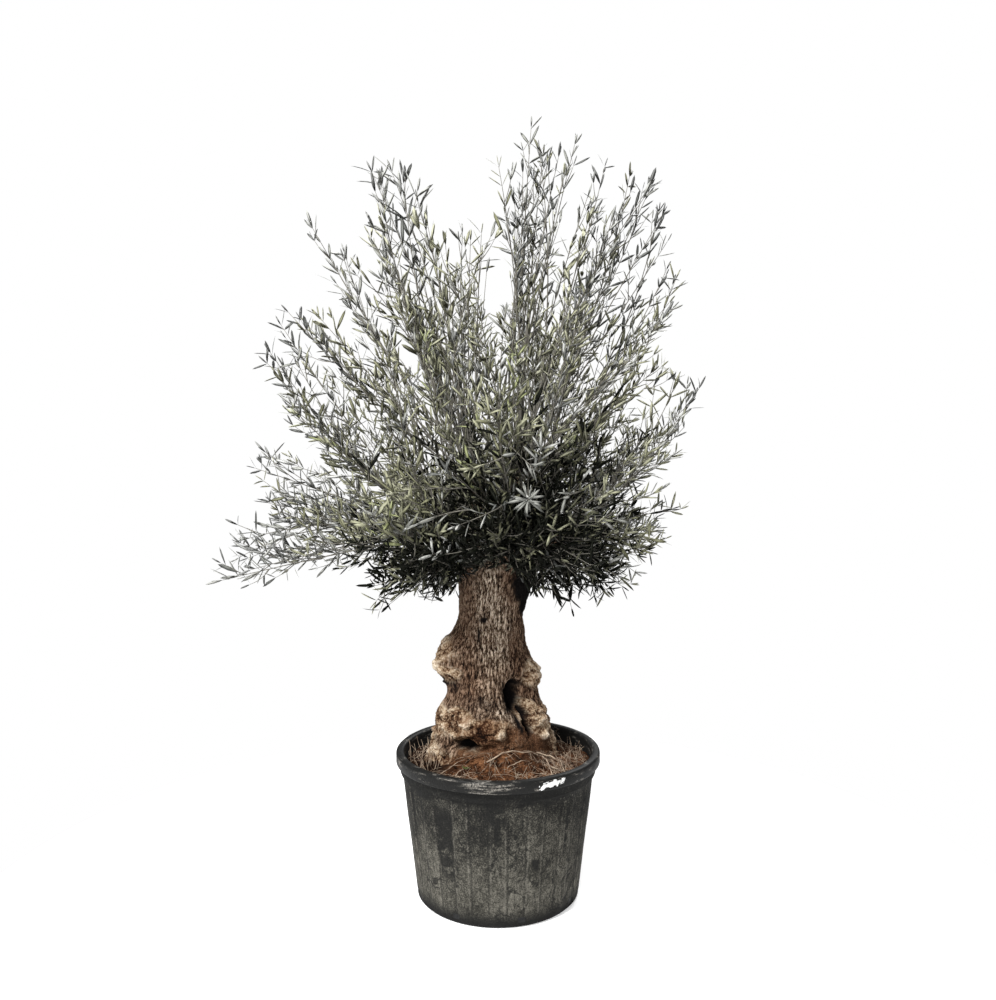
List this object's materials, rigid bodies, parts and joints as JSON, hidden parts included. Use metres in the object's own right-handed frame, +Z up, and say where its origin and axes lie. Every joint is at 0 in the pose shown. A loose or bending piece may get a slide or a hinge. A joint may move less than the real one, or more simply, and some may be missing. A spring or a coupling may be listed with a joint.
{
  "type": "potted olive tree",
  "caption": "Old olive tree grown as a large bonsai, with a stout burred trunk, short boughs and an open airy crown, standing in soil in a round ribbed nursery pot.",
  "frame": {"origin": "on the floor under the middle of the pot, at the pot's flat underside", "axes": "+Z up along the trunk, +X to the right and -Y towards the viewer in the view that shows the burred front of the trunk"},
  "size_m": [1.5582, 1.2786, 2.489],
  "materials": {
    "pot_plastic": "matte",
    "soil": "matte",
    "bark": "matte",
    "foliage": "satin"
  },
  "bodies": {
    "root": {"pot": "pot_plastic", "soil": "soil", "trunk": "bark", "bough_back_left": "bark", "bough_back_right": "bark", "bough_front_left": "bark", "bough_front_right": "bark", "bough_left": "bark", "bough_right": "bark", "bough_upper_left": "bark", "bough_upper_right": "bark", "foliage_back_left_low": "foliage", "foliage_back_left_under": "foliage", "foliage_back_left_upper": "foliage", "foliage_back_mid": "foliage", "foliage_back_right_low": "foliage", "foliage_back_right_under": "foliage", "foliage_back_right_upper": "foliage", "foliage_back_top": "foliage", "foliage_front_left_low": "foliage", "foliage_front_left_under": "foliage", "foliage_front_left_upper": "foliage", "foliage_front_low": "foliage", "foliage_front_mid": "foliage", "foliage_front_right_low": "foliage", "foliage_front_right_under": "foliage", "foliage_front_right_upper": "foliage", "foliage_front_top": "foliage", "foliage_left_arm": "foliage", "foliage_left_back": "foliage", "foliage_left_front": "foliage", "foliage_left_low": "foliage", "foliage_left_mid": "foliage", "foliage_left_peak": "foliage", "foliage_left_under": "foliage", "foliage_left_upper": "foliage", "foliage_peak": "foliage", "foliage_right_arm": "foliage", "foliage_right_back": "foliage", "foliage_right_front": "foliage", "foliage_right_low": "foliage", "foliage_right_top": "foliage", "foliage_right_under": "foliage", "foliage_right_upper": "foliage"}
  },
  "joints": []
}
